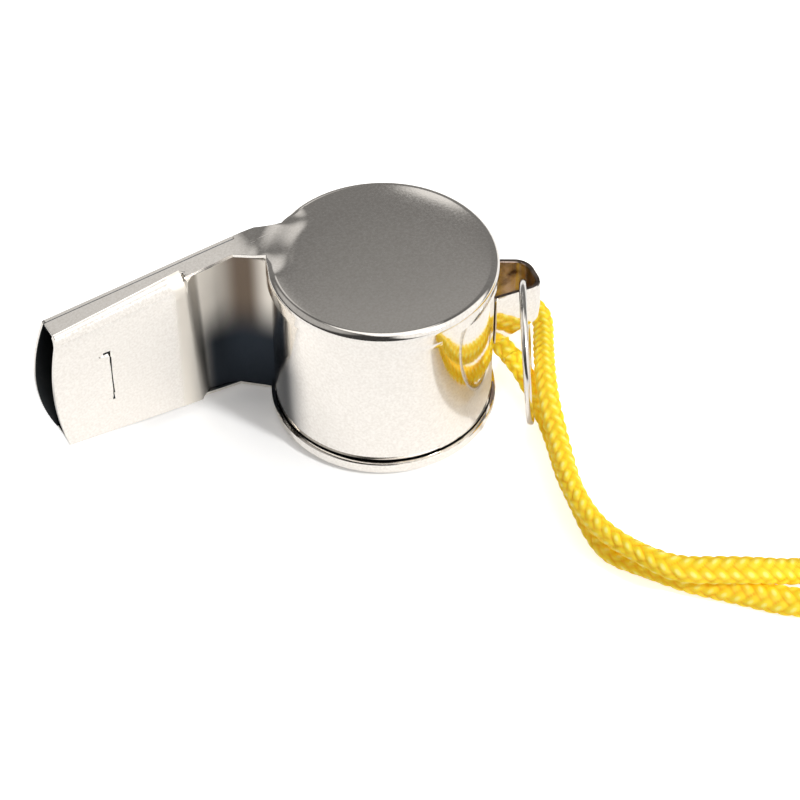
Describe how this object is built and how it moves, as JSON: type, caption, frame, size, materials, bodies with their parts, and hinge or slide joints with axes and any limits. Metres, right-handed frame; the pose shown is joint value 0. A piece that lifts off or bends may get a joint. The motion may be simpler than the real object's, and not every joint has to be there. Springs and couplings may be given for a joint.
{
  "type": "sports whistle",
  "caption": "Sheet-metal pea whistle with a round barrel, a flat mouthpiece, a loose cork pea, a wire ring on a lug and a looped cord lanyard that is wound up and tied.",
  "frame": {"origin": "on the barrel's axis, at the outer face of the lower side plate that the whistle lies on", "axes": "+Z along the barrel's axis and up, -X towards the mouthpiece's lip, +Y towards the windway's roof and sound window"},
  "size_m": [0.1075, 0.057, 0.0182],
  "materials": {
    "nickel_plate": "polished nickel plate on pressed brass sheet",
    "ring_wire": "plated round wire",
    "cork": "matt ground cork",
    "cord": "soft braided yellow cord",
    "elastic": "matt elastic band"
  },
  "bodies": {
    "whistle": {"side_plate_upper": "nickel_plate", "side_plate_lower": "nickel_plate", "barrel_wall": "nickel_plate", "mouthpiece_floor": "nickel_plate", "mouthpiece_roof": "nickel_plate", "lanyard_lug": "nickel_plate", "lanyard_bight": "cord", "lanyard_inner_strand": "cord", "lanyard_outer_strand": "cord", "lanyard_coil_lower": "cord", "lanyard_coil_upper": "cord", "lanyard_knot": "cord", "lanyard_coil_band": "elastic"},
    "ring": {"lanyard_ring": "ring_wire"},
    "pea": {"pea": "cork"}
  },
  "joints": [
    {"name": "pea_orbit", "type": "hinge", "parent": "whistle", "child": "pea", "pos_m": [0, 0, 0], "axis": [0, 0, 1], "continuous": true},
    {"name": "ring_swing", "type": "hinge", "parent": "whistle", "child": "ring", "pos_m": [0.01314, -0.00451, 0.0091], "axis": [-0.891, 0.454, 0], "range_deg": [0, 50], "deforming": ["lanyard_bight"]}
  ]
}
